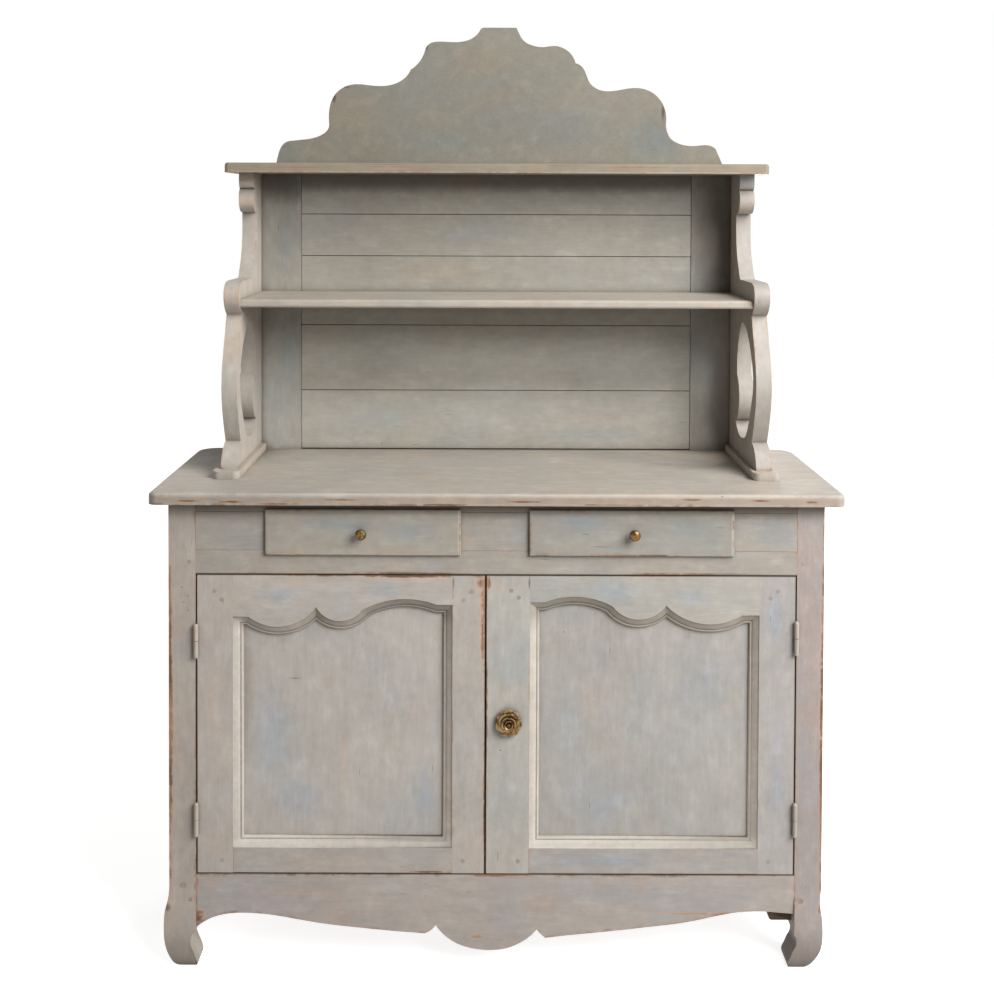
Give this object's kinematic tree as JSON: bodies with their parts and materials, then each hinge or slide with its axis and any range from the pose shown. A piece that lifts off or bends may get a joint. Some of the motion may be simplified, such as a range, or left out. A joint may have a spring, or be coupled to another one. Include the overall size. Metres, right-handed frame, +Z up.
{
  "type": "kitchen dresser",
  "caption": "Painted wooden buffet with serpentine-panelled doors and drawers, scroll feet, and an open plate rack with pierced side boards and a stepped crest board.",
  "frame": {"origin": "on the floor, below the middle of the counter board", "axes": "+X to the right of someone facing the doors, +Y to the back, +Z up"},
  "size_m": [1.4, 0.5, 1.966],
  "materials": {
    "painted_wood": "weathered warm grey paint on pine, brushed out unevenly and worn to the wood on edges",
    "bare_wood": "unpainted, aged pine",
    "brass": "dull turned brass",
    "aged_brass": "dark aged brass with bright petal edges",
    "iron": "iron, toned in with the paint"
  },
  "bodies": {
    "carcass": {"front_post_left": "painted_wood", "front_post_right": "painted_wood", "rear_posts": "painted_wood", "top_front_rail": "painted_wood", "drawer_rail": "painted_wood", "frieze_muntins": "painted_wood", "apron_front": "painted_wood", "apron_corner_blocks": "painted_wood", "side_top_rails": "painted_wood", "side_bottom_rails": "painted_wood", "side_panels": "painted_wood", "back_rails": "painted_wood", "cabinet_back_boards": "painted_wood", "countertop": "painted_wood", "rack_side_left": "painted_wood", "rack_side_right": "painted_wood", "rack_sled_feet": "painted_wood", "rack_middle_shelf": "painted_wood", "rack_top_shelf": "painted_wood", "crest_board": "painted_wood", "rack_back_stiles": "painted_wood", "rack_back_boards": "painted_wood", "carcass_pegs": "painted_wood", "cabinet_floor": "bare_wood", "inner_shelf": "bare_wood", "shelf_cleats": "bare_wood", "drawer_runners": "bare_wood", "rack_dowels": "bare_wood", "hinge_pintles": "iron"},
    "door_left": {"door_left_hinge_stile": "painted_wood", "door_left_meeting_stile": "painted_wood", "door_left_top_rail": "painted_wood", "door_left_bottom_rail": "painted_wood", "door_left_panel": "painted_wood", "door_left_mouldings": "painted_wood", "door_left_pegs": "painted_wood", "door_left_hinge_halves": "iron", "left_bolt_staples": "iron"},
    "left_bolt": {"left_slide_bolt": "iron"},
    "door_right": {"door_right_hinge_stile": "painted_wood", "door_right_meeting_stile": "painted_wood", "door_right_top_rail": "painted_wood", "door_right_bottom_rail": "painted_wood", "door_right_panel": "painted_wood", "door_right_mouldings": "painted_wood", "door_right_pegs": "painted_wood", "door_right_hinge_halves": "iron"},
    "rosette": {"rosette_knob": "aged_brass", "latch_tongue": "iron"},
    "drawer_left": {"drawer_left_front": "painted_wood", "drawer_left_sides": "bare_wood", "drawer_left_back": "bare_wood", "drawer_left_bottom": "bare_wood", "drawer_left_knob": "brass"},
    "drawer_right": {"drawer_right_front": "painted_wood", "drawer_right_sides": "bare_wood", "drawer_right_back": "bare_wood", "drawer_right_bottom": "bare_wood", "drawer_right_knob": "brass"}
  },
  "joints": [
    {"name": "door_left_swing", "type": "hinge", "parent": "carcass", "child": "door_left", "pos_m": [-0.60775, -0.2255, 0.5], "axis": [0, 0, -1], "range_deg": [0, 165]},
    {"name": "door_right_swing", "type": "hinge", "parent": "carcass", "child": "door_right", "pos_m": [0.60775, -0.2255, 0.5], "axis": [0, 0, 1], "range_deg": [0, 165]},
    {"name": "drawer_left_slide", "type": "slide", "parent": "carcass", "child": "drawer_left", "axis": [0, -1, 0], "range_m": [0, 0.3]},
    {"name": "drawer_right_slide", "type": "slide", "parent": "carcass", "child": "drawer_right", "axis": [0, -1, 0], "range_m": [0, 0.3]},
    {"name": "rosette_turn", "type": "hinge", "parent": "door_right", "child": "rosette", "pos_m": [0.026, -0.22, 0.503], "axis": [0, 1, 0], "range_deg": [0, 90]},
    {"name": "left_bolt_slide", "type": "slide", "parent": "door_left", "child": "left_bolt", "axis": [0, 0, 1], "range_m": [0, 0.018]}
  ]
}
